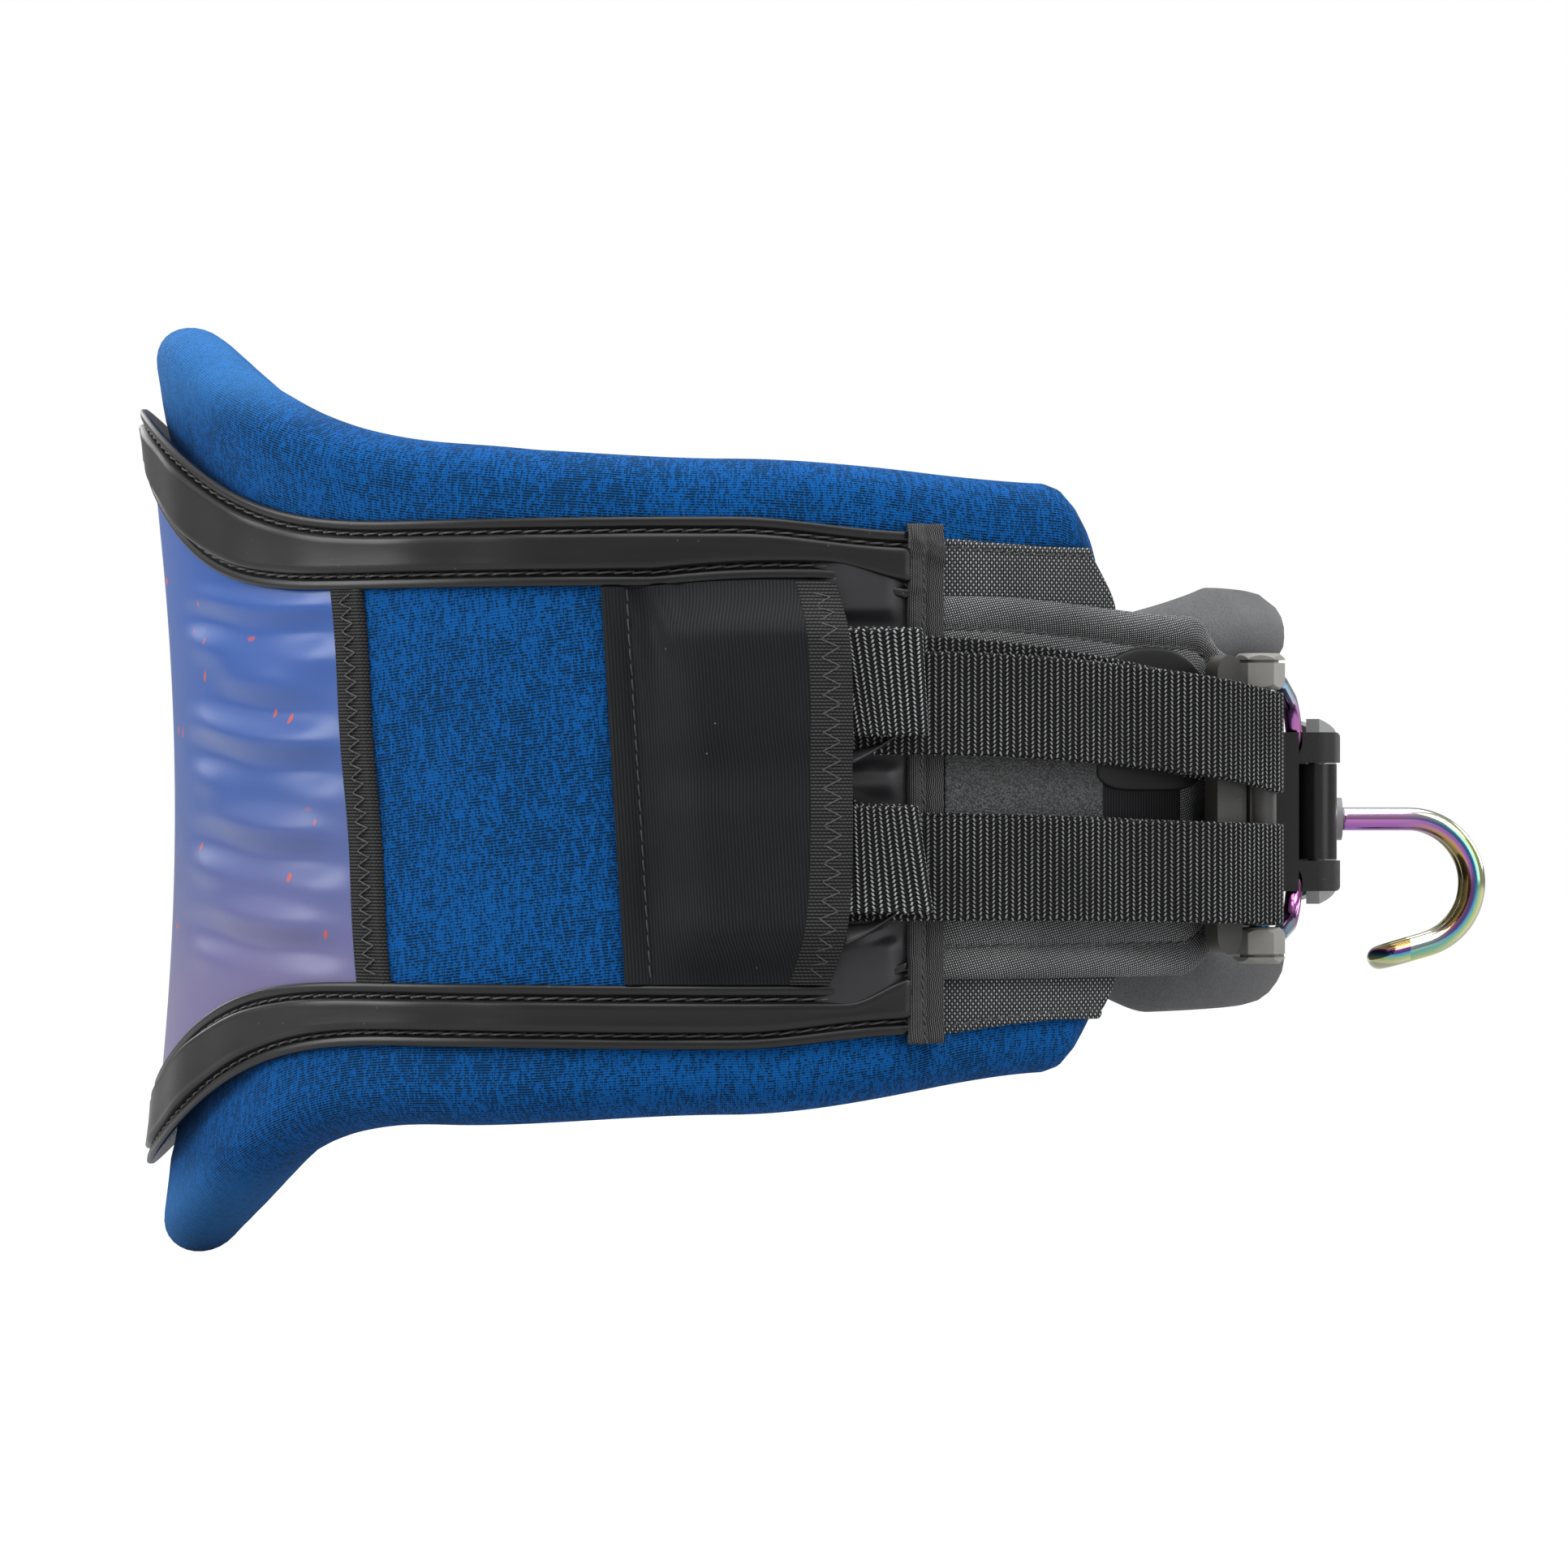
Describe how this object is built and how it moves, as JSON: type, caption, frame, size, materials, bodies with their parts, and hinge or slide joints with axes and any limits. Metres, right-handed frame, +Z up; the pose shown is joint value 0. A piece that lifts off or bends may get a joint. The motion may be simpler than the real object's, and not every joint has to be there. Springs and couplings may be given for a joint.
{
  "type": "waist harness",
  "caption": "Padded waist harness with a stiff lumbar shell, webbing straps and a hinged front spreader bar that carries a line hook.",
  "frame": {"origin": "on the ground, under the middle of the box round the whole harness, with the waist axis upright", "axes": "+X forward to the hook, +Y to the wearer's left, +Z up"},
  "size_m": [0.4134, 0.3508, 0.284],
  "materials": {
    "lining_neoprene": "melange knit over neoprene",
    "shell_composite": "moulded composite",
    "shell_film": "satin film, blue to violet, with small orange flecks",
    "trim_rubber": "moulded rubber with two stitch lines",
    "elastic_ribbon": "elastic ribbon with zigzag stitches",
    "panel_neoprene": "melange knit over neoprene",
    "hip_rubber": "smooth rubberised cloth",
    "stretch_cloth": "smooth stretch cloth with fine ribs",
    "grosgrain_ribbon": "ribbed ribbon, stitched",
    "ballistic_cloth": "coarse basket weave",
    "fine_cloth": "fine plain weave, padded",
    "grain_rubber": "leather-grained",
    "webbing": "ribbed polyester webbing",
    "pad_foam": "moulded closed-cell foam",
    "grey_plastic": "moulded, slightly warm grey",
    "tinted_steel": "heat-tinted stainless steel",
    "black_plastic": "moulded, fine grain",
    "plain_steel": "turned",
    "barrel_plastic": "smooth"
  },
  "bodies": {
    "harness": {"lining_back": "lining_neoprene", "lining_right": "lining_neoprene", "lining_left": "lining_neoprene", "lumbar_shell": "shell_composite", "shell_skin": "shell_film", "upper_trim": "trim_rubber", "lower_trim": "trim_rubber", "seam_ribbon_right": "elastic_ribbon", "seam_ribbon_left": "elastic_ribbon", "side_panel_right": "panel_neoprene", "side_panel_left": "panel_neoprene", "hip_panel_right": "hip_rubber", "hip_panel_left": "hip_rubber", "strap_pocket_right": "stretch_cloth", "strap_pocket_left": "stretch_cloth", "pocket_binding_right": "elastic_ribbon", "pocket_binding_left": "elastic_ribbon", "front_binding_right": "grosgrain_ribbon", "front_binding_left": "grosgrain_ribbon", "front_wing_right": "ballistic_cloth", "front_wing_left": "ballistic_cloth", "bar_arm_right": "fine_cloth", "bar_arm_left": "fine_cloth", "grain_panel_right": "grain_rubber", "grain_panel_left": "grain_rubber", "strap_tab_right": "hip_rubber", "strap_tab_left": "hip_rubber", "upper_strap_right": "webbing", "upper_strap_left": "webbing", "lower_strap_right": "webbing", "lower_strap_left": "webbing", "upper_loop_right": "webbing", "upper_loop_left": "webbing", "lower_loop_right": "webbing", "lower_loop_left": "webbing", "upper_tail_right": "webbing", "upper_tail_left": "webbing", "lower_tail_right": "webbing", "lower_tail_left": "webbing", "bar_pad": "pad_foam", "strap_plate_left": "grey_plastic"},
    "left_wing": {"wing_rods_left": "tinted_steel", "bracket_left": "black_plastic", "hinge_pin_left": "plain_steel", "ferrules_left": "grey_plastic"},
    "centre": {"hook_plate": "grey_plastic", "hook": "tinted_steel", "hook_boss": "grey_plastic", "barrel_right": "barrel_plastic", "barrel_left": "barrel_plastic"},
    "right_wing": {"wing_rods_right": "tinted_steel", "bracket_right": "black_plastic", "hinge_pin_right": "plain_steel", "ferrules_right": "grey_plastic", "strap_plate_right": "grey_plastic"}
  },
  "joints": [
    {"name": "bar_swing", "type": "hinge", "parent": "harness", "child": "left_wing", "pos_m": [0.12954, 0.10661, 0.1366], "axis": [0, 0, 1], "range_deg": [0, 95], "deforming": ["upper_loop_right", "lower_loop_right"]},
    {"name": "left_bar_hinge", "type": "hinge", "parent": "left_wing", "child": "centre", "pos_m": [0.15148, 0.045, 0.1354], "axis": [0, 0, 1], "range_deg": [0, 25]},
    {"name": "right_bar_hinge", "type": "hinge", "parent": "centre", "child": "right_wing", "pos_m": [0.15148, -0.045, 0.1354], "axis": [0, 0, 1], "range_deg": [0, 25]}
  ]
}
